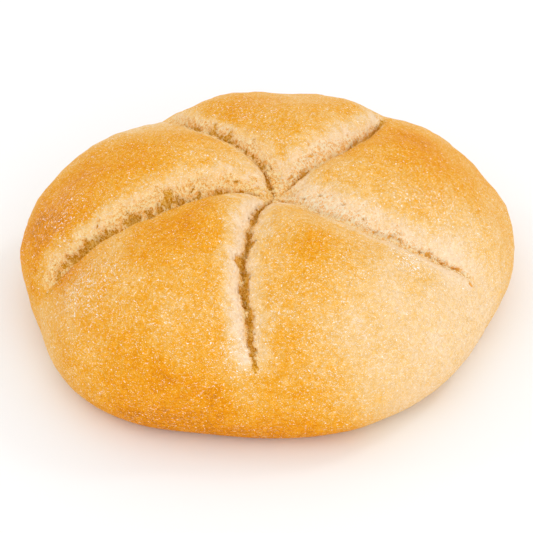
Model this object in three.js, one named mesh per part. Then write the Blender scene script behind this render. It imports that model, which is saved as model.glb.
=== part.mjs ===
import * as THREE from 'three';

// A star-cut bread roll in one piece: an oval dome of baked dough that rises in five lobes
// between five cuts, which start at the crown and swing anticlockwise on their way out.
// Millimetres and degrees, +Z up. It stands on its flat underside, whose middle is the origin.
// A bearing is an angle seen from above, anticlockwise from +X.
// A station says how far down the skin a point lies: 0 at the crown, 1 where the roll is
// widest and 2 at the edge of the underside.

// The dome before it is cut
const MEAN_RADIUS = 51.5;
const OVAL_SHARE = 0.026;
const OVAL_BEARING = 48;
const CROWN_HEIGHT = 37;
const WIDEST_HEIGHT = 11.3;
const UNDERSIDE_SHARE = 0.84;
const CROWN_OFFSET = new THREE.Vector2(1.1, -1.75);
const UNDERSIDE_OFFSET = new THREE.Vector2(-2, 0);

// Powers of a round arc: under 1 fills the arc out towards its corner, over 1 flattens it
const TOP_SPREAD = 0.77;
const TOP_FALL = 1.18;
const TUCK_SPREAD = 0.88;

// Lobes, each with the bearing of its middle and how far it bulges past the oval
const LOBE_HALF_ANGLE = 42;
const LOBES = [
  { name: 'front right', bearing: 297, bulge: 1.3 },
  { name: 'right', bearing: 12, bulge: 1.5 },
  { name: 'back', bearing: 82, bulge: -2.2 },
  { name: 'left', bearing: 167, bulge: 2.5 },
  { name: 'front left', bearing: 226, bulge: 2 },
];

// Cuts in anticlockwise order. A cut sets out from the crown on its bearing and has turned by
// its swing at ROUTE_RUN, with a bow between; its reach is the run from the crown to its end.
// The dough pulls into a wide valley beside it, with one depth at the crown and one where the
// roll is widest, and spread wide to each side, and the narrow cut in the valley's floor has
// its own depth.
const ROUTE_RUN = 48;
const CUTS = [
  {
    name: 'front', bearing: 246, swing: 20.4, bow: 0,
    reach: 49.5, valley: [4.4, 2.4], spread: 20, depth: 2.4,
  },
  {
    name: 'right', bearing: 306, swing: 31, bow: -1,
    reach: 50, valley: [4.4, 0.8], spread: 20, depth: 1.6,
  },
  {
    name: 'back right', bearing: 30, swing: 27, bow: -5,
    reach: 39, valley: [3.8, 0], spread: 11, depth: 2,
  },
  {
    name: 'back left', bearing: 104, swing: 21, bow: 11,
    reach: 44, valley: [4.4, 1.6], spread: 16, depth: 2.5,
  },
  {
    name: 'left', bearing: 190, swing: 10, bow: 4,
    reach: 51.5, valley: [4.4, 2.4], spread: 20, depth: 2.6,
  },
];

// A valley's depth falls from crown to side as this power of a cosine, its sharp floor opens
// into a dish past the cut's end, and where two valleys meet they blend by this norm
const VALLEY_FALL = 0.7;
const FLOOR_ROUNDNESS = 0.3;
const END_ROUNDNESS = 6;
const END_START = 8;
const END_LENGTH = 10;
const VALLEY_NORM = 4;

// The narrow cut's half width, the run over which it fades out at its end, and the dip where
// the cuts meet
const CUT_HALF_WIDTH = 4.5;
const CUT_FADE = 7;
const CROWN_DIP = 1.8;
const CROWN_DIP_RADIUS = 12;

// The mesh: rings down the skin, and columns that follow the cuts and crowd beside them
const TOP_RINGS = 20;
const SIDE_RINGS = 9;
const LOBE_COLUMNS = 18;
const COLUMN_CROWDING = 0.75;
const NORMAL_STEP = 0.001;
const STATION_MARGIN = 0.012;

const QUARTER_TURN = Math.PI / 2;
const { clamp, degToRad, euclideanModulo, lerp, smoothstep } = THREE.MathUtils;

// The angle from one bearing to another, between -180 and 180
function bearingGap(from, to) {
  return euclideanModulo(to - from + 180, 360) - 180;
}

// The uncut roll's radius where it is widest
function widestRadius(bearing) {
  const oval = 1 + OVAL_SHARE * Math.cos(2 * degToRad(bearing - OVAL_BEARING));
  let radius = MEAN_RADIUS * oval;
  for (const lobe of LOBES) {
    const share = Math.min(Math.abs(bearingGap(lobe.bearing, bearing)) / LOBE_HALF_ANGLE, 1);
    radius += lobe.bulge * Math.cos(share * QUARTER_TURN) ** 2;
  }
  return radius;
}

// The ring at one station: its radius as a share of the widest, its height, and how much of
// the crown's and the underside's offset it takes
function ringAt(station) {
  if (station <= 1) {
    const angle = station * QUARTER_TURN;
    const share = Math.sin(angle) ** TOP_SPREAD;
    const rise = Math.max(Math.cos(angle), 0) ** TOP_FALL;
    return {
      share,
      height: WIDEST_HEIGHT + (CROWN_HEIGHT - WIDEST_HEIGHT) * rise,
      offset: CROWN_OFFSET.clone().multiplyScalar(1 - share),
    };
  }
  const angle = (station - 1) * QUARTER_TURN;
  const spread = Math.max(Math.cos(angle), 0) ** TUCK_SPREAD;
  return {
    share: lerp(UNDERSIDE_SHARE, 1, spread),
    height: WIDEST_HEIGHT * (1 - Math.sin(angle) ** TUCK_SPREAD),
    offset: UNDERSIDE_OFFSET.clone().multiplyScalar(1 - spread),
  };
}

// A point on the uncut dome
function domePoint(bearing, station) {
  const ring = ringAt(station);
  const radius = widestRadius(bearing) * ring.share;
  const angle = degToRad(bearing);
  return new THREE.Vector3(
    radius * Math.cos(angle) + ring.offset.x,
    radius * Math.sin(angle) + ring.offset.y,
    ring.height,
  );
}

// The dome's outward normal, from two short steps along the skin
function domeNormal(bearing, station) {
  const near = clamp(station, STATION_MARGIN, 2 - STATION_MARGIN);
  const down = domePoint(bearing, near + NORMAL_STEP).sub(domePoint(bearing, near - NORMAL_STEP));
  const turn = NORMAL_STEP * 90;
  const along = domePoint(bearing + turn, near).sub(domePoint(bearing - turn, near));
  return down.cross(along).normalize();
}

// How far out along a cut a station lies, at most the widest ring
function runAt(station) {
  return MEAN_RADIUS * (station <= 1 ? ringAt(station).share : 1);
}

function cutBearing(cut, run) {
  const share = run / ROUTE_RUN;
  const bow = cut.bow * Math.sin(Math.PI * Math.min(share, 1));
  return cut.bearing + cut.swing * share + bow;
}

// 1 on the middle of a cut, falling to 0 at the given distance from it
function groove(distance, halfWidth, roundness) {
  const eased = Math.hypot(distance, roundness) - roundness;
  return Math.max(1 - eased / halfWidth, 0) ** 2;
}

// How deep the cuts and their valleys lie under the uncut dome
function carvedDepth(bearing, station) {
  const radius = widestRadius(bearing) * ringAt(station).share;
  const run = runAt(station);
  const onTop = station <= 1;
  let valley = 0;
  let slit = 0;
  for (const cut of CUTS) {
    const gap = Math.min(Math.abs(bearingGap(cutBearing(cut, run), bearing)), 90);
    const distance = radius * Math.sin(degToRad(gap));
    const [crownDepth, sideDepth] = cut.valley;
    const floor = onTop
      ? lerp(sideDepth, crownDepth, Math.cos(station * QUARTER_TURN) ** VALLEY_FALL)
      : sideDepth * smoothstep(2 - station, 0, 1);
    const closed = smoothstep(run - cut.reach + END_START, 0, END_LENGTH);
    const roundness = FLOOR_ROUNDNESS + END_ROUNDNESS * closed;
    valley += (floor * groove(distance, cut.spread, roundness)) ** VALLEY_NORM;
    if (onTop) {
      const fade = smoothstep(cut.reach - run, 0, CUT_FADE);
      slit = Math.max(slit, cut.depth * fade * groove(distance, CUT_HALF_WIDTH, FLOOR_ROUNDNESS));
    }
  }
  const dip = onTop ? CROWN_DIP * Math.exp(-((radius / CROWN_DIP_RADIUS) ** 2)) : 0;
  return valley ** (1 / VALLEY_NORM) + slit + dip;
}

function skinPoint(bearing, station) {
  const inward = domeNormal(bearing, station).multiplyScalar(-carvedDepth(bearing, station));
  const point = domePoint(bearing, station).add(inward);
  point.z = Math.max(point.z, 0);
  return point;
}

// The columns' bearings on one ring: from each cut to the next, closest together at the cuts
function columnBearings(station) {
  const run = runAt(station);
  const bearings = [];
  CUTS.forEach((cut, index) => {
    const start = cutBearing(cut, run);
    const next = CUTS[(index + 1) % CUTS.length];
    const span = euclideanModulo(cutBearing(next, run) - start, 360);
    for (let column = 0; column < LOBE_COLUMNS; column += 1) {
      const even = column / LOBE_COLUMNS;
      const turn = 2 * Math.PI;
      const share = even - (COLUMN_CROWDING * Math.sin(turn * even)) / turn;
      bearings.push(start + span * share);
    }
  });
  return bearings;
}

function rollGeometry() {
  const points = [skinPoint(CUTS[0].bearing, 0)];
  const stations = [];
  for (let ring = 1; ring <= TOP_RINGS; ring += 1) {
    stations.push(ring / TOP_RINGS);
  }
  for (let ring = 1; ring <= SIDE_RINGS; ring += 1) {
    stations.push(1 + ring / SIDE_RINGS);
  }
  for (const station of stations) {
    for (const bearing of columnBearings(station)) {
      points.push(skinPoint(bearing, station));
    }
  }
  const columns = CUTS.length * LOBE_COLUMNS;
  const at = (ring, column) => 1 + ring * columns + (column % columns);
  const underside = points.length;
  points.push(new THREE.Vector3(UNDERSIDE_OFFSET.x, UNDERSIDE_OFFSET.y, 0));

  const faces = [];
  for (let column = 0; column < columns; column += 1) {
    faces.push(0, at(0, column), at(0, column + 1));
    for (let ring = 0; ring + 1 < stations.length; ring += 1) {
      faces.push(at(ring, column), at(ring + 1, column), at(ring + 1, column + 1));
      faces.push(at(ring, column), at(ring + 1, column + 1), at(ring, column + 1));
    }
    const edge = stations.length - 1;
    faces.push(underside, at(edge, column + 1), at(edge, column));
  }

  const geometry = new THREE.BufferGeometry().setFromPoints(points);
  geometry.setIndex(faces);
  geometry.computeBoundingBox();
  const middle = geometry.boundingBox.getCenter(new THREE.Vector3());
  geometry.translate(-middle.x, -middle.y, 0);
  geometry.computeVertexNormals();
  return geometry;
}

// Baked wheat crust, golden brown with a soft shine
const crust = new THREE.MeshStandardMaterial({ color: 0xe8ae62, roughness: 0.5, metalness: 0 });

const roll = new THREE.Mesh(rollGeometry(), crust);
roll.name = 'roll';

const group = new THREE.Group();
group.add(roll);

export default group;
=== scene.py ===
import math

import bpy
import numpy as np
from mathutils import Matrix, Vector, noise


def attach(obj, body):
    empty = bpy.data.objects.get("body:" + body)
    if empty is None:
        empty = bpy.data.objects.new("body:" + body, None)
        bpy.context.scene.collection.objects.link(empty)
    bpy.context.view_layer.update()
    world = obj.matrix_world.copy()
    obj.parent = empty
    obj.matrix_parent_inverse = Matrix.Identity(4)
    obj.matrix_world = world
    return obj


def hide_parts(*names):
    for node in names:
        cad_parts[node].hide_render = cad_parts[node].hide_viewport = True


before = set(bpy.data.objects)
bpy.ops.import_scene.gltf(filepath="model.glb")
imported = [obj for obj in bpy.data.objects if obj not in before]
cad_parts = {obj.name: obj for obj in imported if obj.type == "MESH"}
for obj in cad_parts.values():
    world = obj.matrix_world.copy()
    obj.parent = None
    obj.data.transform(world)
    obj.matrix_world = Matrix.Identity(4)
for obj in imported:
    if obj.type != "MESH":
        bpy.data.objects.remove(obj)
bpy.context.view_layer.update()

MM = 0.001

# ---------------------------------------------------------------------------------------------
# The roll's form, in millimetres and degrees. A bearing is an angle seen from above,
# anticlockwise from +X. A share is a ring's radius over the widest ring's. A run is a distance
# out from the crown along a cut.
# ---------------------------------------------------------------------------------------------

# The dome before it was cut
MEAN_RADIUS = 51.5
OVAL_SHARE = 0.026
OVAL_BEARING = 48
CROWN_HEIGHT = 37
WIDEST_HEIGHT = 11.3
UNDERSIDE_SHARE = 0.84
CROWN_OFFSET = (1.1, -1.75)
UNDERSIDE_OFFSET = (-2.0, 0.0)

# Powers of a round arc: under 1 fills the arc out towards its corner, over 1 flattens it. The
# section is softened over a length of skin, but not at its two ends.
TOP_SPREAD = 0.77
TOP_FALL = 1.18
TUCK_SPREAD = 0.88
PROFILE_SOFTENING = 5
PROFILE_FIRM_END = 6
PROFILE_STEPS = 2000
TOP_STEPS = 1200
TUCK_STEPS = 500

# Lobes: the bearing of the middle, and the bulge past the oval
LOBE_HALF_ANGLE = 42
LOBES = {
    "front_right": (297, 1.3),
    "right": (12, 1.5),
    "back": (82, -2.2),
    "left": (167, 2.5),
    "front_left": (226, 2.0),
}

# Cuts in anticlockwise order. On one side of a cut the dough tore into an open slope of crumb,
# and on the other it is a rounded lip of crust. A pair of values is for the crown and the cut's
# end. Across is a distance from the cut's route, positive on the torn side.
#   bearing   it sets out on this bearing, has turned by "swing" at ROUTE_RUN, and bows between
#   reach     run at the cut's end
#   valley    depth of the wide valley at the crown and at the side; spread, its half width
#   torn      the torn side: 1 is anticlockwise of the cut, -1 clockwise
#   foot      how far across the slope and the lip meet
#   brink     how far the slope and the lip drop to the foot
#   slope     width of the torn slope; curve, the power of its fall: 1 is straight, 2 rounded
#   lip       width of the lip
#   crumb     share of the slope that is bare crumb; lip_crumb, its width on the lip
#   fade      how far the skin is pale on the torn side; lip_fade, on the lip
#   bleach    how pale it is there, on the torn side and on the lip
#   tone      how creamy the crumb is: 0 is golden, 1 is cream
#   glow      how brown the crumb is painted along the foot, as painted shade in its crease
#   crack     (run, across, half width) along the crack painted dark as shade, widened by gape as a factor
#   bridge    how much of the crack is still spanned by pillars of crumb
#   pockets   (run, across, half length, half width) of holes that bubbles left in the slope
ROUTE_RUN = 48.0
CUTS = [
    dict(
        name="front", bearing=246.0, swing=20.4, bow=0.0, reach=49.5,
        valley=(4.4, 2.4), spread=20, torn=1, foot=0.0, brink=1.6,
        slope=(4.2, 3.6), curve=2.0, lip=4.6, crumb=0.3, lip_crumb=0.8,
        fade=(6.0, 6.5), lip_fade=(6.6, 6.0), bleach=(0.66, 1.0), tone=0.4, glow=0.6,
        gape=1.25, bridge=0.15,
        crack=[
            (0, 0.0, 0.15), (2, 0.2, 0.32), (4, 0.0, 0.4), (6, 0.1, 0.35), (9, 0.1, 0.45),
            (11, 0.2, 0.6), (12.5, -0.4, 0.5), (14, -0.1, 0.1), (15.5, 0.1, 0.15),
            (17, 0.4, 0.5), (18.5, 0.3, 0.5), (20.5, 0.7, 0.7), (22, 0.5, 0.5), (24, -0.2, 0.5),
            (25.5, -0.6, 0.9), (27, -0.3, 0.7), (28, 0.3, 0.5), (29.5, 0.9, 0.55),
            (31.5, 0.8, 0.6), (33, 0.2, 0.9), (34, 0.5, 0.6), (36, 0.5, 0.5), (38, 0.9, 0.45),
            (41, 0.9, 0.6), (43, 0.6, 0.6), (44.5, 0.1, 0.4), (46, 0.0, 0.35), (47.8, 0.1, 0.45),
            (48.6, 0.0, 0.2),
        ],
        pockets=[
            (16.7, 0.9, 0.6, 0.3), (25.8, -1.1, 0.9, 0.5), (33, -0.4, 0.7, 0.5),
            (36.5, -0.1, 0.6, 0.35),
        ],
    ),
    dict(
        name="right", bearing=306.0, swing=31.0, bow=-1.0, reach=50.0,
        valley=(4.4, 0.8), spread=20, torn=1, foot=0.5, brink=0.85,
        slope=(5.2, 2.4), curve=1.15, lip=2.2, crumb=(1.2, 0.6), lip_crumb=0.0,
        fade=(10.0, 8.0), lip_fade=(1.6, 6.5), bleach=(0.9, 0.8), tone=1.0, glow=0.2,
        gape=0.8, bridge=0.4,
        crack=[
            (0, 0.2, 0.1), (2, 1.0, 0.3), (4.5, 0.9, 0.35), (6, 1.2, 0.15), (36, 1.5, 0.15),
            (37, 1.5, 0.2), (38, 1.4, 0.35), (39.5, 1.5, 0.45), (41, 1.6, 0.25), (43, 1.4, 0.45),
            (44.5, 1.3, 0.25), (45.5, 1.8, 0.4), (47, 1.0, 0.3), (48, 0.2, 0.15),
            (48.5, -0.8, 0.5), (49, -1.0, 0.2),
        ],
        pockets=[
            (8, 2.0, 0.6, 0.2), (11.2, 4.6, 0.4, 0.25), (18, 4.0, 0.5, 0.2),
            (23.8, 2.7, 0.3, 0.3), (27.5, 1.7, 0.8, 0.15), (30.8, 1.9, 0.6, 0.25),
            (33, 1.9, 0.6, 0.25), (45.6, 1.8, 0.5, 0.4), (48.6, -0.6, 0.4, 0.6),
        ],
    ),
    dict(
        name="back_right", bearing=30.0, swing=27.0, bow=-5.0, reach=39.0,
        valley=(3.8, 0.0), spread=11, torn=1, foot=0.6, brink=1.3,
        slope=(4.4, 4.6), curve=1.15, lip=2.0, crumb=(1.15, 0.2), lip_crumb=0.0,
        fade=(8.0, 9.0), lip_fade=(1.6, 1.2), bleach=(0.95, 0.7), tone=0.75, glow=0.45,
        gape=0.9, bridge=0.1,
        crack=[
            (0, 0.2, 0.1), (3, 0.7, 0.2), (5, 1.1, 0.3), (8, 1.2, 0.5), (9.5, 1.3, 0.2),
            (12, 1.2, 0.1), (20, 0.8, 0.15), (22, 0.9, 0.45), (26, 1.0, 0.52), (28, 1.1, 0.5),
            (30.5, 1.0, 0.55), (34, 0.9, 0.55), (35.5, 0.6, 0.7), (36.8, 0.4, 0.7),
            (37.5, 0.2, 0.2),
        ],
        pockets=[
            (5.5, 1.8, 0.8, 0.3), (7.5, 1.7, 0.7, 0.25), (11.5, 3.0, 0.9, 0.35),
            (13, 4.4, 0.6, 0.3), (23.6, 3.4, 0.5, 0.3), (36.6, 2.3, 0.5, 0.6),
        ],
    ),
    dict(
        name="back_left", bearing=104.0, swing=21.0, bow=11.0, reach=44.0,
        valley=(4.4, 1.6), spread=16, torn=-1, foot=0.8, brink=1.8,
        slope=(2.8, 2.8), curve=1.15, lip=2.4, crumb=1.0, lip_crumb=0.0,
        fade=(5.5, 5.5), lip_fade=(5.6, 3.0), bleach=(0.8, 0.7), tone=0.35, glow=0.6,
        gape=0.85, bridge=0.9,
        crack=[
            (0, 0.0, 0.2), (1, 0.1, 0.7), (2.5, 0.0, 0.8), (4, 0.4, 0.6), (6, 0.8, 0.3),
            (8, 1.0, 0.6), (10, 1.2, 0.6), (12, 1.5, 0.3), (14, 1.4, 0.5), (16, 1.4, 0.15),
            (18, 1.6, 0.5), (19.5, 1.7, 0.3), (21, 2.0, 0.8), (22.5, 1.7, 0.4), (24, 1.8, 0.2),
            (25.5, 2.1, 0.5), (27, 2.0, 0.8), (28.5, 1.7, 0.3), (30, 1.9, 0.4), (32, 1.7, 0.3),
            (34, 1.6, 0.2), (36.5, 1.8, 0.15), (38.5, 2.0, 0.1), (40, 1.9, 0.1), (43, 1.5, 0.0),
        ],
        pockets=[
            (7.5, 2.0, 0.8, 0.2), (15.5, 3.8, 0.5, 0.3), (20.8, 2.6, 0.9, 0.5),
            (21.5, 3.0, 0.4, 0.4), (26, 2.9, 0.9, 0.5), (26.3, 3.4, 0.5, 0.3),
            (31, 2.0, 0.4, 0.3), (34.6, 2.4, 0.6, 0.25),
        ],
    ),
    dict(
        name="left", bearing=190.0, swing=10.0, bow=4.0, reach=51.5,
        valley=(4.4, 2.4), spread=20, torn=-1, foot=0.9, brink=1.9,
        slope=(4.2, 3.8), curve=1.15, lip=2.0, crumb=1.0, lip_crumb=0.0,
        fade=(10.0, 9.0), lip_fade=(1.0, 1.8), bleach=(0.8, 0.6), tone=0.2, glow=1.0,
        gape=1.25, bridge=0.8,
        crack=[
            (0, 0.3, 0.1), (2.5, 0.9, 0.3), (6, 1.6, 0.2), (9, 1.5, 0.15), (12, 1.8, 0.4),
            (13.5, 1.6, 0.1), (15, 1.9, 0.5), (16.5, 1.8, 0.25), (18.5, 1.7, 0.15),
            (20, 2.0, 0.4), (21.5, 2.2, 0.3), (24, 2.1, 0.6), (25.5, 1.9, 0.3), (27.5, 2.0, 0.7),
            (29, 1.8, 0.4), (30, 2.0, 0.8), (33, 1.8, 0.7), (35, 1.7, 0.5), (36.5, 1.8, 0.7),
            (39, 1.8, 0.6), (41, 2.0, 1.0), (43.5, 1.9, 0.7), (45, 2.1, 1.0), (46.5, 1.9, 0.9),
            (48, 1.4, 1.0), (49.5, 0.5, 1.0), (50.5, 0.0, 0.4),
        ],
        pockets=[
            (8, 2.7, 0.7, 0.25), (16.8, 3.1, 0.7, 0.35), (21.6, 3.5, 1.5, 0.9),
            (22.6, 4.2, 0.8, 0.6), (23.2, 2.8, 0.9, 0.7), (26.8, 2.5, 0.9, 0.4),
            (30.8, 2.7, 0.9, 0.6), (31.2, 3.5, 0.4, 0.3), (37.7, 4.2, 0.35, 0.3),
            (38.9, 2.7, 0.55, 0.45), (41.3, 2.8, 0.7, 0.5), (42.6, 2.8, 0.6, 0.5),
            (45.4, 3.1, 0.5, 0.5), (46.6, 2.6, 1.0, 0.5), (48, -1.7, 0.5, 0.4),
        ],
    ),
]

# A valley's depth falls from crown to side as this power of a cosine, its sharp floor opens
# into a dish at the crown and past the cut's end, and valleys that meet blend by this norm
VALLEY_FALL = 0.7
FLOOR_ROUNDNESS = 0.3
END_ROUNDNESS = 6
END_START = 8
END_LENGTH = 10
CROWN_ROUNDNESS = 4
CROWN_ROUNDNESS_RADIUS = 10
VALLEY_NORM = 4
CROWN_DIP = 1.8
CROWN_DIP_RADIUS = 12

# A cut fades out just past its reach. Near the crown, where the cuts run together, only half
# the room between them is left for each, and their drop, wander and foot come in with radius.
CUT_OVERRUN = 1
CUT_FADE = 7
ROOM_SHARE = 0.5
LEAST_ROOM = 0.05
ROOM_USED = 0.8
CALM_RADIUS = 0.5
CALM_LENGTH = 11
STRAIGHT_RADIUS = 2.5
CROWN_WANDER = 0.3
CROWN_BRINK = 0.08
NEAR_A_CUT = 12
PAST_THE_END = 5

# The slope's ragged top, and the low step of torn skin that runs out past it
SLOPE_RAGGEDNESS = 0.3
TORN_EDGE_DEPTH = 0.35
TORN_EDGE_WIDTH = 6.0
LEAST_EDGE_WIDTH = 0.1

# Cracks: the room that a full one needs, the softness of its rim, and the half widths from
# which it is fully ragged and fully painted dark, as painted shade. Pillars of crumb stand
# where their noise is over a level, drawn out across the crack.
CRACK_DEPTH = 0.9
CRACK_ROOM = 1.6
LEAST_CRACK = 0.15
CRACK_RIM = 0.45
CRACK_SWAY = 0.6
RIM_RAGGEDNESS = 0.75
RAGGED_FROM = 0.45
LEAST_RAGGEDNESS = 0.2
DARK_FROM = 0.25
PILLAR_STRETCH = 0.35
PILLAR_SWAY = 0.5
PILLAR_LEVEL = 0.12
PILLAR_EDGE = 0.25
PILLAR_STRENGTH = 0.9

# Pockets: the distance at which their rim starts, in half widths, and its softness. They dig
# a little under the slope as well as into it, and their insides are painted dark as shade.
POCKET_DEPTH = 0.4
POCKET_RIM = 1.2
POCKET_SOFTNESS = 0.8
POCKET_RAGGEDNESS = 0.5
POCKET_UNDERCUT = 0.4
POCKET_SHADE = 0.9

# Bare crumb: where it ends, in widths of itself, and how far it reaches at the crown
CRUMB_END = 1.5
LIP_CRUMB_END = 1.2
LEAST_LIP_CRUMB = 0.01
CRUMB_RAGGEDNESS = 0.3
CROWN_CRUMB_RADIUS = 6.5
CROWN_CRUMB_RAGGEDNESS = 4
CROWN_CRUMB_EDGE = 4

# Painted shade: the brown line painted along each cut's foot, and the crumb painted golden
# rather than cream near the foot and near the crown, where it lies in shade
GLOW_WIDTH = 0.9
GLOW_LEVEL = 0.45
GLOW_RAGGEDNESS = 0.5
GLOW_MOST = 0.7
FOOT_SHADE_TONE = 0.35
FOOT_SHADE_WIDTH = 1.8
CROWN_SHADE_TONE = 0.4
CROWN_SHADE_RADIUS = 10

# The skin beside a cut, which stretched late and stayed pale, and less pale in the foot itself,
# where it is painted golden as shade in the crease
PALE_STRENGTH = 1.3
PALE_RAGGEDNESS = 0.2
LEAST_PALE_REACH = 0.3
CROWN_PALE_RADIUS = 13
CROWN_PALE_RAGGEDNESS = 5
CROWN_PALE_EDGE = 10
FOOT_SKIN_SHADE = 0.45
FOOT_SKIN_SHADE_WIDTH = 1.3

# At a cut's end the crumb and the pale skin reach further than its depth, by these factors
CRUMB_FADE = 2
PALE_FADE = 1.6

# Unevenness as coherent noise: (size in millimetres, octaves, seed), and how strong it is. Each
# seed starts the noise elsewhere, and the cuts lie apart in it, so that no two are alike.
WANDER_NOISE = (5.0, 3, 1)
WANDER = 0.5
RAGGED_NOISE = (2.2, 3, 2)
RIM_NOISE = (0.75, 3, 5)
SWAY_RUN_NOISE = (1.5, 2, 8)
SWAY_RUN = 0.45
SWAY_ACROSS_NOISE = (1.5, 2, 9)
SWAY_ACROSS = 0.35
PILLAR_NOISE = (1.5, 2, 13)
TUFT_NOISE = (0.9, 3, 6)
TUFT_HEIGHT = 0.12
PORE_NOISE = (1.2, 2, 7)
PORE_LEVEL = 0.1
PORE_EDGE = 0.4
PORE_DEPTH = 0.12
SWELL_NOISE = (17.0, 2, 11)
SWELL_HEIGHT = 1.0
DIMPLE_NOISE = (3.6, 2, 12)
DIMPLE_HEIGHT = 0.22
PATCH_NOISE = (10, 3, 14)
PATCH_UNEVENNESS = 0.35
NOISE_START = (31.7, -17.3, 11.9)
CUT_SPACING = 40.0

# Pores are painted brown as shade in golden crumb and hardly at all in cream crumb. Skin with
# less bare crumb than THIN_CRUMB has no pores or tufts. Below SWELL_FOOT the swells and dimples
# die out.
PORE_SHADE = 0.3
PORE_SHADE_LOST_IN_CREAM = 0.26
THIN_CRUMB = 0.02
SWELL_FOOT = 8

# How far the crust is baked, from 0 (pale) to 1 (brown), is BAKE_LEVEL plus these patches,
# kept in BAKE_RANGE: (x, y, z) of the middle, radius, and what it adds there
BAKE_LEVEL = 0.51
BAKE_RANGE = (0.12, 1.03)
BAKE_PATCHES = {
    "left shoulder": ((-36, 7, 26), 14, 0.36),
    "left lobe, ridge": ((-25, 10, 31), 8, 0.12),
    "left flank": ((-45, -8, 20), 12, 0.42),
    "left lobe, back": ((-27, 24, 26), 10, -0.3),
    "left lobe, back rim": ((-30, 31, 21), 12, -0.17),
    "beside the left cut": ((-19, -17, 31), 9, 0.32),
    "front left, middle": ((-28, -32, 24), 14, 0.09),
    # The two foot patches darken the crust towards the floor: partly a browner baked bottom, partly painted
    # shade where the roll meets the floor
    "front left, foot": ((-22, -45, 4), 13, 0.74),
    "front, foot": ((0, -50, 0), 13, 0.55),
    "back lobe": ((-7, 24, 32), 11, 0.25),
    "right lobe": ((32, 13, 29), 14, 0.38),
    "right lobe, back rim": ((34, 30, 24), 8, -0.2),
    "right lobe, by the cut": ((20, -6, 31), 8, -0.15),
    "front right, top": ((10, -25, 32), 5, 0.3),
    "front right, by the cut": ((4, -41, 22), 3.5, 0.25),
    "front right, middle": ((22, -35, 20), 12, -0.2),
    "right flank": ((42, -22, 16), 19, -0.5),
    "front right, foot": ((26, -40, 10), 13, -0.3),
    "front right, base": ((16, -48, 0), 7, 0.25),
    "crown": ((-2, -3, 33), 9, -0.15),
    "left rim": ((-47, -24, 10), 7, -0.1),
    "left lobe, rim": ((-44, 18, 14), 8, -0.1),
    "underside": ((0, 0, -30), 34, 0.5),
}

# Where the crust is smooth enough to shine, and where painted glints fleck it, in the same way
SHINE_LEVEL = 0.15
SHINE_PATCHES = {
    "left shoulder": ((-41, -2, 23), 9, 0.6),
    "front left, by the left cut": ((-36, -25, 22), 10, 0.9),
    "front left, by the front cut": ((-7, -41, 20), 5, 0.9),
    "front right, by the right cut": ((29, -22, 27), 4, 1.3),
    "right lobe": ((33, -6, 28), 6, 0.8),
    "back lobe": ((-4, 24, 33), 9, 0.3),
}

# Where the lobes bulge or are pressed in, the same way, in millimetres
LUMPS = {
    "right lobe, back shoulder": ((27, 28, 27), 7, 1.2),
    "right lobe, flank": ((42, 22, 18), 13, -0.9),
    "left notch": ((-23, 28, 26), 7, 1.1),
    "front left, foot": ((-15, -47, 5), 9, -0.7),
    "right lobe, side": ((48, 3, 12), 9, -0.3),
}

# The mesh: rings down the skin, and columns that follow the cuts. Beside a cut the columns keep
# close together over the fine band, and past it they spread by this power.
TOP_RINGS = 202
SIDE_RINGS = 24
UNDERSIDE_RINGS = 10
HALF_LOBE_COLUMNS = 40
FINE_BAND = 8.0
COLUMN_GROWTH = 4.6
LEAST_HALF_WIDTH = 0.001

# Steps for the dome's slope, along its skin in millimetres and round it in degrees
SLOPE_STEP = 0.2
SKIN_END_MARGIN = 0.5


def smooth(share):
    share = np.clip(share, 0, 1)
    return share * share * (3 - 2 * share)


def between(low, high, share):
    return low * (1 - share) + high * share


def wrap(angle):
    return (angle + 180.0) % 360.0 - 180.0


def fractal(points, size, octaves, seed):
    """Coherent noise, about -1 to 1, over points in millimetres."""
    start = Vector([step * seed for step in NOISE_START])
    return np.array([noise.fractal(Vector(p) / size + start, 1.0, 2.0, octaves) for p in points])


def patches(point, level, places, ragged=False):
    """A level over the skin, raised or lowered by soft patches, with uneven outlines if ragged."""
    total = np.full(len(point), float(level))
    uneven = 1 + PATCH_UNEVENNESS * fractal(point, *PATCH_NOISE) if ragged else 1
    for middle, radius, amount in places.values():
        away = np.linalg.norm(point - middle, axis=1) * uneven
        total += amount * np.exp(-((away / radius) ** 2))
    return total


# ---------------------------------------------------------------------------------------------
# The dome
# ---------------------------------------------------------------------------------------------

def skin_profile():
    """The dome's section from crown to underside edge: arc length, share and height."""
    top = np.linspace(0, 1, TOP_STEPS) * math.pi / 2
    low = np.linspace(0, 1, TUCK_STEPS)[1:] * math.pi / 2
    share = np.concatenate([
        np.sin(top) ** TOP_SPREAD,
        UNDERSIDE_SHARE + (1 - UNDERSIDE_SHARE) * np.clip(np.cos(low), 0, 1) ** TUCK_SPREAD,
    ])
    height = np.concatenate([
        WIDEST_HEIGHT + (CROWN_HEIGHT - WIDEST_HEIGHT) * np.clip(np.cos(top), 0, 1) ** TOP_FALL,
        WIDEST_HEIGHT * (1 - np.sin(low) ** TUCK_SPREAD),
    ])
    step = np.hypot(np.diff(share) * MEAN_RADIUS, np.diff(height))
    arc = np.concatenate([[0], np.cumsum(step)])
    length = arc[-1]
    even = np.linspace(0, length, PROFILE_STEPS)
    window = np.hanning(int(PROFILE_STEPS * PROFILE_SOFTENING / length) | 1)
    window /= window.sum()
    pad = len(window) // 2
    blend = smooth((even - even[pad]) / PROFILE_FIRM_END) * smooth((length - even) / PROFILE_FIRM_END)
    softened = []
    for values in (share, height):
        values = np.interp(even, arc, values)
        soft = values.copy()
        soft[pad:-pad] = np.convolve(values, window, "valid")
        softened.append(values + (soft - values) * blend)
    return even, *softened


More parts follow.
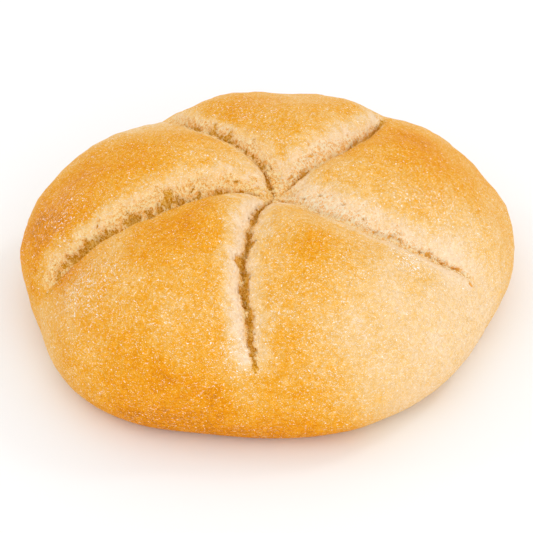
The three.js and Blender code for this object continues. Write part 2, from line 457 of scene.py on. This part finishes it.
PROFILE_ARC, PROFILE_SHARE, PROFILE_HEIGHT = skin_profile()
WIDEST_ARC = PROFILE_ARC[np.argmax(PROFILE_SHARE)]
SKIN_ARC = PROFILE_ARC[-1]


def share_at(arc):
    return np.interp(arc, PROFILE_ARC, PROFILE_SHARE)


def run_at(arc):
    """How far out along a cut an arc length lies, at most the widest ring."""
    return MEAN_RADIUS * np.where(arc <= WIDEST_ARC, share_at(arc), 1)


def widest_radius(bearing):
    radius = MEAN_RADIUS * (1 + OVAL_SHARE * np.cos(np.radians(2 * (bearing - OVAL_BEARING))))
    for middle, bulge in LOBES.values():
        share = np.clip(np.abs(wrap(bearing - middle)) / LOBE_HALF_ANGLE, 0, 1)
        radius = radius + bulge * np.cos(share * math.pi / 2) ** 2
    return radius


def dome(bearing, arc):
    """Points of the uncut dome at an arc length down from the crown."""
    share = share_at(arc)
    top = arc <= WIDEST_ARC
    crown = np.where(top, 1 - share, 0)
    base = np.where(top, 0, (1 - share) / (1 - UNDERSIDE_SHARE))
    radius = widest_radius(bearing) * share
    angle = np.radians(bearing)
    return np.stack([
        radius * np.cos(angle) + CROWN_OFFSET[0] * crown + UNDERSIDE_OFFSET[0] * base,
        radius * np.sin(angle) + CROWN_OFFSET[1] * crown + UNDERSIDE_OFFSET[1] * base,
        np.interp(arc, PROFILE_ARC, PROFILE_HEIGHT),
    ], -1)


def dome_directions(bearing, arc):
    """Outward normal and anticlockwise tangent of the dome."""
    near = np.clip(arc, SKIN_END_MARGIN, SKIN_ARC - SKIN_END_MARGIN)
    down = dome(bearing, near + SLOPE_STEP) - dome(bearing, near - SLOPE_STEP)
    along = dome(bearing + SLOPE_STEP, near) - dome(bearing - SLOPE_STEP, near)
    normal = np.cross(down, along)
    normal /= np.linalg.norm(normal, axis=-1, keepdims=True)
    along /= np.linalg.norm(along, axis=-1, keepdims=True)
    return normal, along


# ---------------------------------------------------------------------------------------------
# The cuts
# ---------------------------------------------------------------------------------------------

def cut_bearing(cut, run):
    share = run / ROUTE_RUN
    bow = cut["bow"] * np.sin(math.pi * np.clip(share, 0, 1))
    return cut["bearing"] + cut["swing"] * share + bow


def groove(distance, half_width, roundness):
    """1 on a valley's floor, falling to 0 at its rim; roundness turns its floor into a dish."""
    eased = np.sqrt(distance ** 2 + roundness ** 2) - roundness
    return np.clip(1 - eased / half_width, 0, 1) ** 2


def valleys(bearing, arc):
    """Depth of the valleys, and each vertex's nearest cut and signed distance from it."""
    radius = widest_radius(bearing) * share_at(arc)
    run = run_at(arc)
    top = arc <= WIDEST_ARC
    fall = np.cos(np.clip(arc / WIDEST_ARC, 0, 1) * math.pi / 2) ** VALLEY_FALL
    tuck = smooth((SKIN_ARC - arc) / (SKIN_ARC - WIDEST_ARC))
    dish = CROWN_ROUNDNESS * (1 - smooth(radius / CROWN_ROUNDNESS_RADIUS))
    depth = np.zeros(len(arc))
    nearest = np.full(len(arc), np.inf)
    which = np.zeros(len(arc), int)
    signed = np.zeros(len(arc))
    for index, cut in enumerate(CUTS):
        gap = wrap(bearing - cut_bearing(cut, run))
        distance = radius * np.sin(np.radians(np.minimum(np.abs(gap), 90)))
        crown_depth, side_depth = cut["valley"]
        floor = np.where(top, side_depth + (crown_depth - side_depth) * fall, side_depth * tuck)
        closed = smooth((run - cut["reach"] + END_START) / END_LENGTH)
        roundness = FLOOR_ROUNDNESS + END_ROUNDNESS * closed + dish
        depth += (floor * groove(distance, cut["spread"], roundness)) ** VALLEY_NORM
        near = distance < nearest
        nearest = np.where(near, distance, nearest)
        which = np.where(near, index, which)
        signed = np.where(near, np.sign(gap) * distance, signed)
    dip = np.where(top, CROWN_DIP * np.exp(-((radius / CROWN_DIP_RADIUS) ** 2)), 0)
    return depth ** (1 / VALLEY_NORM) + dip, which, signed


def cut_relief(bearing, arc):
    """Depth under the dome, sideways shift, the crust's state and a place along the nearest
    cut, at each vertex."""
    valley, which, signed = valleys(bearing, arc)
    radius = widest_radius(bearing) * share_at(arc)
    run = run_at(arc)
    top = arc <= WIDEST_ARC
    reach = np.array([cut["reach"] for cut in CUTS])[which]
    along = np.clip(run / reach, 0, 1)
    apart = which * CUT_SPACING
    near_cut = (np.abs(signed) < NEAR_A_CUT) & (run < reach + PAST_THE_END) & top

    def per_cut(key):
        """A cut's own value at each vertex, blended from crown to end where it has two."""
        values = np.array([np.broadcast_to(cut[key], 2) for cut in CUTS], float)[which]
        return between(values[:, 0], values[:, 1], along)

    def uneven(place, size, octaves, seed):
        """Coherent noise near the cuts, and 0 elsewhere."""
        values = np.zeros(len(arc))
        values[near_cut] = fractal(np.stack(place, -1)[near_cut], size, octaves, seed)
        return values

    # Across the cut, from its foot
    fade = smooth((reach + CUT_OVERRUN - run) / CUT_FADE) * top
    room = ROOM_SHARE * radius + LEAST_ROOM
    torn_side = per_cut("torn")
    calm = smooth((radius - CALM_RADIUS) / CALM_LENGTH)
    foot = per_cut("foot") * calm
    wander = WANDER * uneven((run, apart, np.zeros(len(arc))), *WANDER_NOISE)
    wander = wander * (CROWN_WANDER + (1 - CROWN_WANDER) * calm) * smooth(radius / STRAIGHT_RADIUS)
    across = (signed - wander) * torn_side - foot
    distance = np.abs(across)
    on_slope = across > 0
    ragged = uneven((run, across, apart), *RAGGED_NOISE)

    # The torn slope on one side, and the rounded lip on the other
    slope = np.minimum(per_cut("slope") * (1 + SLOPE_RAGGEDNESS * ragged), ROOM_USED * room)
    brink = per_cut("brink") * fade * (CROWN_BRINK + (1 - CROWN_BRINK) * calm)
    inside = np.clip(1 - distance / slope, 0, 1)
    edge = TORN_EDGE_DEPTH * fade * calm
    edge_width = np.maximum(np.minimum(room - slope, TORN_EDGE_WIDTH), LEAST_EDGE_WIDTH)
    outside = np.clip(1 - (distance - slope) / edge_width, 0, 1)
    torn = np.where(
        distance < slope, edge + (brink - edge) * inside ** per_cut("curve"), edge * outside ** 3,
    )
    lip_width = np.minimum(per_cut("lip"), ROOM_USED * room)
    lip = brink * np.clip(1 - distance / lip_width, 0, 1) ** 2
    depth = np.where(on_slope, torn, lip)

    # The crack in the foot, and the pillars of crumb that still span it
    rim_grain = uneven((run, across, apart), *RIM_NOISE)
    sway_run = SWAY_RUN * uneven((run, across, apart), *SWAY_RUN_NOISE)
    sway_across = SWAY_ACROSS * uneven((run, across, apart), *SWAY_ACROSS_NOISE)
    pillar = uneven((run + PILLAR_SWAY * sway_across, PILLAR_STRETCH * across, apart), *PILLAR_NOISE)
    pillar = smooth((pillar - PILLAR_LEVEL) / PILLAR_EDGE)
    middle = np.zeros(len(arc))
    gape = np.zeros(len(arc))
    for index, cut in enumerate(CUTS):
        runs, middles, halves = zip(*cut["crack"])
        mine = which == index
        middle[mine] = np.interp(run[mine], runs, middles)
        gape[mine] = np.interp(run[mine], runs, halves, right=0) * cut["gape"]
    gape = gape * np.clip(room / CRACK_ROOM, LEAST_CRACK, 1)
    rim = np.abs(across + foot + CRACK_SWAY * sway_across - middle * calm) - gape
    rim = rim + RIM_RAGGEDNESS * rim_grain * np.clip(gape / RAGGED_FROM, LEAST_RAGGEDNESS, 1)
    crack = smooth(0.5 - rim / CRACK_RIM) * np.clip(gape / DARK_FROM, 0, 1)
    crack = crack * (1 - PILLAR_STRENGTH * pillar * per_cut("bridge"))

    # Pockets that the dough's bubbles left in the slope
    pocket = np.zeros(len(arc))
    for index, cut in enumerate(CUTS):
        mine = near_cut & (which == index)
        for at_run, at_across, half_long, half_wide in cut["pockets"]:
            away = np.hypot(
                (run[mine] + sway_run[mine] - at_run) / half_long,
                (across[mine] + foot[mine] + sway_across[mine] - at_across) / half_wide,
            )
            hole = POCKET_RIM - away + POCKET_RAGGEDNESS * rim_grain[mine]
            pocket[mine] = np.maximum(pocket[mine], smooth(hole / POCKET_SOFTNESS))
    dig = CRACK_DEPTH * crack * fade + POCKET_DEPTH * pocket
    shift = np.where(on_slope, POCKET_UNDERCUT * POCKET_DEPTH * pocket, 0) * torn_side

    # How bare the crumb lies, on the slope and around the crown, and how much painted shade its
    # hollows get: cracks, pockets and the foot are painted golden brown where shade falls
    crumb = np.where(
        on_slope,
        CRUMB_END - distance / (slope * per_cut("crumb")),
        LIP_CRUMB_END - distance / np.maximum(per_cut("lip_crumb"), LEAST_LIP_CRUMB),
    ) + CRUMB_RAGGEDNESS * ragged
    crumb = np.clip(crumb, 0, 1) * smooth(fade * CRUMB_FADE)
    crown_crumb = CROWN_CRUMB_RADIUS - radius + CROWN_CRUMB_RAGGEDNESS * ragged
    crumb = np.maximum(crumb, smooth(crown_crumb / CROWN_CRUMB_EDGE))
    # Painted shade: a brown line along the foot's crease
    glow = smooth(1 - distance / GLOW_WIDTH) * smooth(fade * CRUMB_FADE)
    glow = glow * np.clip(GLOW_LEVEL + GLOW_RAGGEDNESS * ragged, 0, GLOW_MOST) * per_cut("glow")
    hollow_shade = np.maximum(np.maximum(crack, POCKET_SHADE * pocket), glow)
    # Painted shade: the crumb turns golden near the foot and the crown, where it lies in shade
    tone = per_cut("tone") * (FOOT_SHADE_TONE + (1 - FOOT_SHADE_TONE) * smooth(distance / FOOT_SHADE_WIDTH))
    tone = tone * (CROWN_SHADE_TONE + (1 - CROWN_SHADE_TONE) * smooth(radius / CROWN_SHADE_RADIUS))

    # How pale the skin beside it stayed
    pale_reach = np.where(on_slope, per_cut("fade"), per_cut("lip_fade"))
    bleach = np.array([cut["bleach"] for cut in CUTS])[which]
    bleach = np.where(on_slope, bleach[:, 0], bleach[:, 1])
    nearness = 1 - distance / np.maximum(pale_reach, LEAST_PALE_REACH) + PALE_RAGGEDNESS * ragged
    pale = smooth(PALE_STRENGTH * nearness) * smooth(fade * PALE_FADE) * bleach
    crown_pale = CROWN_PALE_RADIUS - radius + CROWN_PALE_RAGGEDNESS * ragged
    pale = np.maximum(pale, smooth(crown_pale / CROWN_PALE_EDGE))
    # Painted shade: the pale skin turns golden in the foot of the cut
    pale = pale * (1 - FOOT_SKIN_SHADE * smooth(1 - distance / FOOT_SKIN_SHADE_WIDTH))

    state = dict(crumb=crumb, pale=pale, hollow_shade=hollow_shade, tone=tone, creamy=per_cut("tone"))
    strand = np.stack([run, signed, apart], -1)
    return valley + depth + dig, shift, state, strand


# ---------------------------------------------------------------------------------------------
# The mesh
# ---------------------------------------------------------------------------------------------

def column_bearing(column, arc):
    """Bearings of the columns, which follow the cuts and crowd beside them."""
    per_lobe = 2 * HALF_LOBE_COLUMNS
    index = column // per_lobe
    place = column % per_lobe
    bearings = np.stack([cut_bearing(cut, run_at(arc)) for cut in CUTS])
    every = np.arange(len(arc))
    start = bearings[index, every]
    span = (bearings[(index + 1) % len(CUTS), every] - start) % 360
    half_width = np.maximum(np.radians(span / 2) * MEAN_RADIUS * share_at(arc), LEAST_HALF_WIDTH)
    unit = 1 - np.abs(place / HALF_LOBE_COLUMNS - 1)
    fine = np.minimum(FINE_BAND, half_width)
    from_cut = (fine * unit + (half_width - fine) * unit ** COLUMN_GROWTH) / half_width
    return start + np.where(place <= HALF_LOBE_COLUMNS, from_cut, 2 - from_cut) * span / 2


def roll_surface(ring, column):
    """Each vertex's place in millimetres, the crust's state and its place along a cut."""
    rings_down = (0, TOP_RINGS, TOP_RINGS + SIDE_RINGS)
    arc = np.interp(ring, rings_down, (0, WIDEST_ARC, SKIN_ARC))
    bearing = column_bearing(column, arc)
    depth, shift, state, strand = cut_relief(bearing, arc)
    normal, tangent = dome_directions(bearing, arc)
    whole = dome(bearing, arc)
    swell = SWELL_HEIGHT * fractal(whole, *SWELL_NOISE) + DIMPLE_HEIGHT * fractal(whole, *DIMPLE_NOISE)
    swell = swell * smooth(whole[:, 2] / SWELL_FOOT) + patches(whole, 0, LUMPS)
    point = whole + normal * (swell - depth)[:, None] + tangent * shift[:, None]

    # Tufts and pores of the bare crumb, with painted shade in the pores
    torn = np.nonzero(state["crumb"] > THIN_CRUMB)[0]
    bare = smooth(state["crumb"][torn])
    tufts = TUFT_HEIGHT * fractal(point[torn], *TUFT_NOISE)
    pores = smooth((fractal(point[torn], *PORE_NOISE) - PORE_LEVEL) / PORE_EDGE)
    point[torn] += normal[torn] * (bare * (tufts - PORE_DEPTH * pores))[:, None]
    # Painted shade in the pores, brown in golden crumb
    brown = PORE_SHADE - PORE_SHADE_LOST_IN_CREAM * state.pop("creamy")[torn]
    state["hollow_shade"][torn] = np.maximum(state["hollow_shade"][torn], brown * bare * pores)

    # The flat underside
    under = np.clip((ring - TOP_RINGS - SIDE_RINGS) / UNDERSIDE_RINGS, 0, 1)
    point = point + ((*UNDERSIDE_OFFSET, 0) - point) * under[:, None]
    point[:, 2] = np.maximum(point[:, 2], 0)
    centre = (point.min(0) + point.max(0)) / 2
    point[:, :2] -= centre[:2]

    bake = np.clip(patches(point, BAKE_LEVEL, BAKE_PATCHES, ragged=True), *BAKE_RANGE)
    state["bake"] = bake * (1 - state.pop("pale"))
    state["shine"] = patches(point, SHINE_LEVEL, SHINE_PATCHES)
    return point, state, strand, centre


def make_roll():
    """The roll, shaped from a sphere whose rings and columns are laid over its skin."""
    rings = TOP_RINGS + SIDE_RINGS + UNDERSIDE_RINGS
    columns = 2 * HALF_LOBE_COLUMNS * len(CUTS)
    bpy.ops.object.select_all(action="DESELECT")
    bpy.ops.mesh.primitive_uv_sphere_add(
        segments=columns, ring_count=rings, radius=MEAN_RADIUS * MM,
        location=(0, 0, MEAN_RADIUS * MM),
    )
    roll = bpy.context.object
    roll.name = "baked_roll"
    bpy.ops.object.transform_apply(location=True, rotation=True, scale=True)
    mesh = roll.data
    co = np.empty(len(mesh.vertices) * 3)
    mesh.vertices.foreach_get("co", co)
    co = co.reshape(-1, 3) / (MEAN_RADIUS * MM) - (0, 0, 1)
    ring = np.rint(np.arccos(np.clip(co[:, 2], -1, 1)) / math.pi * rings).astype(int)
    turn = np.arctan2(co[:, 1], co[:, 0]) / (2 * math.pi)
    column = np.rint(turn * columns).astype(int) % columns

    point, state, strand, centre = roll_surface(ring, column)
    mesh.vertices.foreach_set("co", (point * MM).ravel())
    mesh.update()
    for name, values in state.items():
        layer = mesh.attributes.new(name, "FLOAT", "POINT")
        layer.data.foreach_set("value", values.astype(np.float32))
    layer = mesh.attributes.new("strand", "FLOAT_VECTOR", "POINT")
    layer.data.foreach_set("vector", strand.astype(np.float32).ravel())
    bpy.ops.object.shade_smooth()
    return roll, centre


# ---------------------------------------------------------------------------------------------
# Finish
# ---------------------------------------------------------------------------------------------

# Sockets of a Mix node: its share, its two ends as numbers and as colours, and its colour out.
# A Math node's sockets are 0, 1 and 2: MULTIPLY_ADD is the first times the second, plus the third.
SHARE, LOW, HIGH, UNDER, OVER = 0, 2, 3, 6, 7
MIXED_COLOUR = 2

# Patterns: how they are laid on, their size in millimetres, detail and warp. The crust's real
# grain is about 0.1 mm. Its fine mottling and the flecks of painted glint are drawn at 0.3 to
# 0.4 mm, as coarse as they need to show. On the girth and the belt they are squashed upright, so
# that glint flecks and curls lie along the sides, and on the tear they are drawn out across the cut.
LAID = {
    "girth": (1, 1, 1.5),
    "belt": (0.6, 0.6, 2.8),
    "tear": (1.25, 0.5, 1),
}
PATTERNS = {
    "cloud": ("skin", 9, 2, 0.0),
    "spot": ("skin", 1.7, 2, 0.3),
    "grain": ("girth", 0.8, 2, 0.4),
    "fine": ("girth", 0.34, 1, 0.3),
    "fleck": ("girth", 0.42, 1, 1.2),
    "curl": ("belt", 0.75, 1, 1.4),
    "crumbling": ("skin", 0.5, 2, 1.2),
    "strand": ("tear", 0.5, 2, 1.6),
}
PATTERN_ROUGHNESS = 0.6
STRAND_SHARE = 0.4

# Cells: the foam's bubbles in the crumb and the wrinkles between which the skin bulges, with
# the size of each and the size and strength of the warp that makes them uneven
FOAM_SIZE = 1.1
FOAM_WARP_SIZE = 0.7
FOAM_WARP = 1.8
FOAM_SHARE = 0.2
WRINKLE_SIZE = 0.7
WRINKLE_WARP_SIZE = 1.4
WRINKLE_WARP = 0.5

# How strongly each pattern mottles the crust. Skin that is baked most is no more mottled than
# skin at MOTTLE_MOST.
MOTTLE = {"cloud": 0.6, "spot": 0.5, "grain": 0.8, "fine": 3.7}
PALE_SPECKS = 1.4
BAKE_CONTRAST = 0.8
BAKE_LIFT = 0.24
MOTTLE_MOST = 0.64
MOTTLE_DROP = 0.16
# How strongly shine brings on the painted glint flecks
SHINE_GLINTS = 0.1
CRUMB_EDGE_GRAIN = 1.1
HOLLOW_SHADE_EDGE_FIBRE = 1.7
GLOSS_SPOTS = 0.8
RELIEF_HEIGHT = 0.26 * MM


def srgb(code):
    """An sRGB hex colour as linear RGBA."""
    parts = [int(code[i:i + 2], 16) / 255 for i in (0, 2, 4)]
    return (*[c / 12.92 if c <= 0.04045 else ((c + 0.055) / 1.055) ** 2.4 for c in parts], 1)


def add(tree, kind, settings=None, links=None, output=0):
    """Adds a node with its settings and links, and gives one of its outputs. A setting is the
    node's own property, a ramp's stops or a socket's value, and a text there is a colour."""
    node = tree.nodes.new(kind)
    for key, value in (settings or {}).items():
        if key == "stops":
            elements = node.color_ramp.elements
            elements.remove(elements[1])
            for index, (place, colour) in enumerate(value):
                element = elements[0] if index == 0 else elements.new(place)
                element.position = place
                element.color = srgb(colour) if isinstance(colour, str) else (colour, colour, colour, 1)
        elif isinstance(key, str) and hasattr(node, key):
            setattr(node, key, value)
        else:
            node.inputs[key].default_value = srgb(value) if isinstance(value, str) else value
    for key, socket in (links or {}).items():
        tree.links.new(socket, node.inputs[key])
    return node.outputs[output] if len(node.outputs) else node


def baked_crust():
    """Wheat dough baked golden: a thin, finely wrinkled skin with a soft shine, mottled from pale
    gold to brown, that pales into dry cream crumb where the cuts tore it open. Its cracks, pores
    and the feet of its cuts are painted golden brown as shade, and painted glints speckle the skin
    where it shines."""
    material = bpy.data.materials.new("baked_wheat_crust")
    material.use_nodes = True
    tree = material.node_tree
    tree.nodes.clear()
    noise_kind = "ShaderNodeTexNoise"
    cell_kind = "ShaderNodeTexVoronoi"
    maths = "ShaderNodeMath"
    vectors = "ShaderNodeVectorMath"
    mapping = "ShaderNodeMapping"
    attribute = "ShaderNodeAttribute"
    ramp = "ShaderNodeValToRGB"
    mix = "ShaderNodeMix"

    # Places in millimetres, and the states of the crust
    place = add(tree, "ShaderNodeTexCoord", output="Object")
    skin = add(tree, mapping, {"Scale": (1 / MM, 1 / MM, 1 / MM)}, {"Vector": place})
    along_cut = add(tree, attribute, {"attribute_name": "strand"}, output="Vector")
    laid = {
        "skin": skin,
        "girth": add(tree, mapping, {"Scale": LAID["girth"]}, {"Vector": skin}),
        "belt": add(tree, mapping, {"Scale": LAID["belt"]}, {"Vector": skin}),
        "tear": add(tree, mapping, {"Scale": LAID["tear"]}, {"Vector": along_cut}),
    }
    state = {
        name: add(tree, attribute, {"attribute_name": name}, output="Fac")
        for name in ("crumb", "hollow_shade", "tone", "bake", "shine")
    }

    # Patterns
    patterns = {
        name: add(
            tree, noise_kind,
            {"Scale": 1 / size, "Detail": detail, "Roughness": PATTERN_ROUGHNESS, "Distortion": warp},
            {"Vector": laid[lay]}, "Fac",
        )
        for name, (lay, size, detail, warp) in PATTERNS.items()
    }
    foam_warp = add(tree, noise_kind, {"Scale": 1 / FOAM_WARP_SIZE, "Detail": 2}, {"Vector": skin}, "Color")
    foam_place = add(
        tree, vectors, {"operation": "MULTIPLY_ADD", 1: (FOAM_WARP, FOAM_WARP, FOAM_WARP)},
        {0: foam_warp, 2: skin},
    )
    foam = add(
        tree, cell_kind, {"feature": "DISTANCE_TO_EDGE", "Scale": 1 / FOAM_SIZE},
        {"Vector": foam_place}, "Distance",
    )
    wrinkle_warp = add(
        tree, noise_kind, {"Scale": 1 / WRINKLE_WARP_SIZE, "Detail": 1}, {"Vector": skin}, "Color",
    )
    wrinkle_place = add(
        tree, vectors, {"operation": "MULTIPLY_ADD", 1: (WRINKLE_WARP, WRINKLE_WARP, WRINKLE_WARP)},
        {0: wrinkle_warp, 2: skin},
    )
    wrinkles = add(
        tree, cell_kind, {"feature": "F1", "Scale": 1 / WRINKLE_SIZE},
        {"Vector": wrinkle_place}, "Distance",
    )
    wall = add(tree, ramp, {"stops": [(0.02, 0.7), (0.2, 0.3)]}, {"Fac": foam})
    fibre = add(
        tree, mix, {SHARE: STRAND_SHARE}, {LOW: patterns["crumbling"], HIGH: patterns["strand"]},
    )
    patterns["fibre"] = add(tree, mix, {SHARE: FOAM_SHARE}, {LOW: fibre, HIGH: wall})
    centred = {
        name: add(tree, maths, {"operation": "SUBTRACT", 1: 0.5}, {0: patterns[name]})
        for name in (*MOTTLE, "fibre")
    }

    # Baked colour, from pale gold through gold to brown
    mottle = add(tree, "ShaderNodeValue")
    mottle.default_value = 0.0
    for name, strength in MOTTLE.items():
        mottle = add(
            tree, maths, {"operation": "MULTIPLY_ADD", 1: strength}, {0: centred[name], 2: mottle},
        )
    specks = add(tree, ramp, {"stops": [(0.5, 0.0), (0.74, 1.0)]}, {"Fac": patterns["fine"]})
    mottle = add(
        tree, maths, {"operation": "MULTIPLY_ADD", 1: -PALE_SPECKS}, {0: specks, 2: mottle},
    )
    baked = add(
        tree, maths, {"operation": "MULTIPLY_ADD", 1: BAKE_CONTRAST, 2: BAKE_LIFT}, {0: state["bake"]},
    )
    mottled = add(tree, maths, {"operation": "MINIMUM", 1: MOTTLE_MOST}, {0: baked})
    level = add(tree, maths, {"operation": "SUBTRACT", 1: MOTTLE_DROP}, {0: baked})
    browning = add(tree, maths, {"operation": "MULTIPLY_ADD"}, {0: mottled, 1: mottle, 2: level})
    crust = add(tree, ramp, {"stops": [
        (0.0, "F8DCBA"), (0.14, "F3CA8E"), (0.29, "F0BC66"), (0.4, "EFAE44"), (0.54, "ECA222"),
        (0.68, "EA960C"), (0.8, "E28A08"), (1.0, "BC7216"),
    ]}, {"Fac": browning})

    # Painted glints: near-white flecks, most where the skin shines, and thin curls of skin where it
    # is baked most
    glint_level = add(
        tree, maths, {"operation": "MULTIPLY_ADD", 1: SHINE_GLINTS},
        {0: state["shine"], 2: patterns["fleck"]},
    )
    glint_share = add(tree, ramp, {"stops": [(0.69, 0.0), (0.74, 1.0)]}, {"Fac": glint_level})
    crust = add(
        tree, mix, {"data_type": "RGBA", OVER: "FFFBF2"}, {SHARE: glint_share, UNDER: crust},
        MIXED_COLOUR,
    )
    baked_most = add(tree, ramp, {"stops": [(0.85, 0.0), (1.1, 1.0)]}, {"Fac": state["bake"]})
    curls = add(tree, ramp, {"stops": [(0.66, 0.0), (0.7, 0.7)]}, {"Fac": patterns["curl"]})
    curl_share = add(tree, maths, {"operation": "MULTIPLY"}, {0: baked_most, 1: curls})
    crust = add(
        tree, mix, {"data_type": "RGBA", OVER: "FAD8A4"}, {SHARE: curl_share, UNDER: crust},
        MIXED_COLOUR,
    )

    # Crumb, golden or cream
    golden = add(
        tree, ramp, {"stops": [(0.38, "E2982C"), (0.46, "F8B452"), (0.54, "FFDF9E")]},
        {"Fac": patterns["fibre"]},
    )
    cream = add(
        tree, ramp, {"stops": [(0.38, "F2B062"), (0.46, "FDCE94"), (0.54, "FFEDCC")]},
        {"Fac": patterns["fibre"]},
    )
    crumb = add(
        tree, mix, {"data_type": "RGBA"}, {SHARE: state["tone"], UNDER: golden, OVER: cream},
        MIXED_COLOUR,
    )
    crumb_edge = add(
        tree, maths, {"operation": "MULTIPLY_ADD", 1: CRUMB_EDGE_GRAIN},
        {0: centred["grain"], 2: state["crumb"]},
    )
    crumb_share = add(tree, ramp, {"stops": [(0.35, 0.0), (0.8, 1.0)]}, {"Fac": crumb_edge})
    colour = add(
        tree, mix, {"data_type": "RGBA"}, {SHARE: crumb_share, UNDER: crust, OVER: crumb},
        MIXED_COLOUR,
    )

    # Painted shade: holes, cracks, pores and the foot of each cut are painted golden brown for the
    # shade in them and the light that glows through the crumb around them, and paler where the
    # crumb is cream
    hollow_shade_edge = add(
        tree, maths, {"operation": "MULTIPLY_ADD", 1: -HOLLOW_SHADE_EDGE_FIBRE},
        {0: centred["fibre"], 2: state["hollow_shade"]},
    )
    hollow_shade_share = add(tree, ramp, {"stops": [(0.4, 0.0), (0.72, 0.95)]}, {"Fac": hollow_shade_edge})
    hollow_shade = add(
        tree, ramp, {"stops": [(0.38, "C27C02"), (0.48, "DC981C"), (0.58, "F4C468")]},
        {"Fac": patterns["fibre"]},
    )
    shallow = add(tree, ramp, {"stops": [(0.3, 0.0), (0.5, 1.0)]}, {"Fac": state["tone"]})
    hollow_shade = add(
        tree, mix, {"data_type": "RGBA", OVER: "F0AC48"}, {SHARE: shallow, UNDER: hollow_shade},
        MIXED_COLOUR,
    )
    colour = add(
        tree, mix, {"data_type": "RGBA"}, {SHARE: hollow_shade_share, UNDER: colour, OVER: hollow_shade},
        MIXED_COLOUR,
    )

    # Wrinkles of the skin and fibres of the crumb
    wrinkle = add(tree, ramp, {"stops": [(0.1, 1.0), (0.75, 0.0)]}, {"Fac": wrinkles})
    tear = add(tree, ramp, {"stops": [(0.32, 0.0), (0.68, 1.0)]}, {"Fac": patterns["fibre"]})
    relief = add(
        tree, mix, {"data_type": "RGBA"}, {SHARE: crumb_share, UNDER: wrinkle, OVER: tear},
        MIXED_COLOUR,
    )
    bump = add(tree, "ShaderNodeBump", {"Strength": 1.0, "Distance": RELIEF_HEIGHT}, {"Height": relief})

    # The skin shines softly and in spots, and the crumb is dry and matt
    gloss = add(
        tree, maths, {"operation": "MULTIPLY_ADD", 1: GLOSS_SPOTS},
        {0: centred["spot"], 2: state["shine"]},
    )
    skin_roughness = add(tree, ramp, {"stops": [(0.1, 0.6), (0.75, 0.26)]}, {"Fac": gloss})
    roughness = add(
        tree, mix, {"data_type": "RGBA", OVER: (0.9, 0.9, 0.9, 1)},
        {SHARE: crumb_share, UNDER: skin_roughness}, MIXED_COLOUR,
    )
    shader = add(
        tree, "ShaderNodeBsdfPrincipled", {"IOR": 1.45, "Specular IOR Level": 0.06},
        {"Base Color": colour, "Roughness": roughness, "Normal": bump},
    )
    add(tree, "ShaderNodeOutputMaterial", None, {"Surface": shader})
    return material


def matt_floor():
    """Plain pale studio paper: matt, so that it shows the roll's soft shadow and no reflection."""
    material = bpy.data.materials.new("pale_studio_paper")
    material.use_nodes = True
    shader = material.node_tree.nodes["Principled BSDF"]
    shader.inputs["Base Color"].default_value = srgb("F7F7F7")
    shader.inputs["Roughness"].default_value = 0.9
    return material


roll, roll_centre = make_roll()
roll.data.materials.append(baked_crust())
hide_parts("roll")
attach(roll, "root")

# ---------------------------------------------------------------------------------------------
# Floor, light and camera
# ---------------------------------------------------------------------------------------------

# In metres
FLOOR_SIDE = 6

# In millimetres and degrees. The aim is a point inside the dome, over the middle of its widest
# ring, and shows at a place in the frame, in pixels from its top left.
CAMERA_ELEVATION = 37.0
CAMERA_DISTANCE = 600.0
PIXELS_PER_MM = 4.711
AIM_HEIGHT = 20.0
AIM_PIXEL = (268.8, 224.7)
FRAME_SIDE = 533
SENSOR_WIDTH = 36.0
CLIP_START = 10.0

bpy.ops.mesh.primitive_plane_add(size=FLOOR_SIDE, location=(0, 0, 0))
floor = bpy.context.object
floor.name = "floor"
floor.data.materials.append(matt_floor())

world = bpy.data.worlds.new("studio")
bpy.context.scene.world = world
world.use_nodes = True
world.node_tree.nodes["Background"].inputs["Color"].default_value = (1, 1, 1, 1)
world.node_tree.nodes["Background"].inputs["Strength"].default_value = 1.0
bpy.context.scene.view_settings.view_transform = "Standard"


def softbox(name, bearing, elevation, distance, side, brightness):
    """A square softbox that faces the roll, in metres and degrees."""
    height = math.sin(math.radians(elevation))
    reach = math.cos(math.radians(elevation))
    direction = Vector((
        reach * math.cos(math.radians(bearing)), reach * math.sin(math.radians(bearing)), height,
    ))
    bpy.ops.object.light_add(type="AREA", location=direction * distance)
    light = bpy.context.object
    light.name = name
    light.data.size = side
    light.data.energy = brightness * math.pi * side * side
    light.rotation_euler = direction.to_track_quat("Z", "Y").to_euler()


softbox("left window", bearing=165, elevation=38, distance=0.9, side=0.14, brightness=4)
softbox("back right window", bearing=30, elevation=46, distance=0.9, side=0.13, brightness=12)
softbox("front fill", bearing=285, elevation=22, distance=1.2, side=1.0, brightness=0.9)


def aim_camera():
    """A camera over the front, turned rather than shifted so that the aim shows in its place."""
    elevation = math.radians(CAMERA_ELEVATION)
    view = Vector((0, math.cos(elevation), -math.sin(elevation)))
    right = Vector((1, 0, 0))
    up = Vector((0, math.sin(elevation), math.cos(elevation)))
    aim = Vector((-roll_centre[0], -roll_centre[1], AIM_HEIGHT))
    focal = PIXELS_PER_MM * CAMERA_DISTANCE
    aside = FRAME_SIDE / 2 - AIM_PIXEL[0]
    below = FRAME_SIDE / 2 - AIM_PIXEL[1]
    middle = view * focal + right * aside - up * below
    bpy.ops.object.camera_add(location=(aim - view * CAMERA_DISTANCE) * MM)
    camera = bpy.context.object
    camera.rotation_euler = middle.to_track_quat("-Z", "Y").to_euler()
    camera.data.sensor_width = SENSOR_WIDTH
    camera.data.lens = focal / FRAME_SIDE * SENSOR_WIDTH
    camera.data.clip_start = CLIP_START * MM
    bpy.context.scene.camera = camera


aim_camera()
